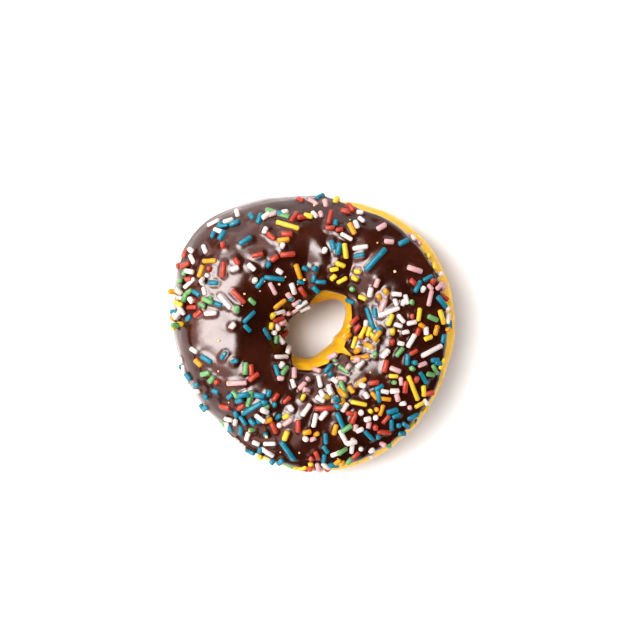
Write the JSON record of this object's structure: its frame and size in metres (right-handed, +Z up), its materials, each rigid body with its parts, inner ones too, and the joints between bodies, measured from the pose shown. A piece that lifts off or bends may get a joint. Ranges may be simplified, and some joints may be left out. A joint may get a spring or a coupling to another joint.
{
  "type": "sprinkle frosted doughnut",
  "caption": "Ring doughnut of fried dough, dipped in dark chocolate icing and strewn with coloured sugar sprinkles, lying flat with its iced side up.",
  "frame": {"origin": "on the plane the doughnut rests on, under the middle of its bounding box", "axes": "+Z up, through the iced top; +X to the right and +Y away from a viewer who looks down on it"},
  "size_m": [0.0836, 0.0822, 0.0298],
  "materials": {
    "fried_dough": "golden brown fried crust with a paler belt, slightly oily",
    "chocolate_icing": "glossy dark chocolate icing with matt coloured sugar sprinkles"
  },
  "bodies": {
    "root": {"dough_ring": "fried_dough", "chocolate_icing": "chocolate_icing"}
  },
  "joints": []
}
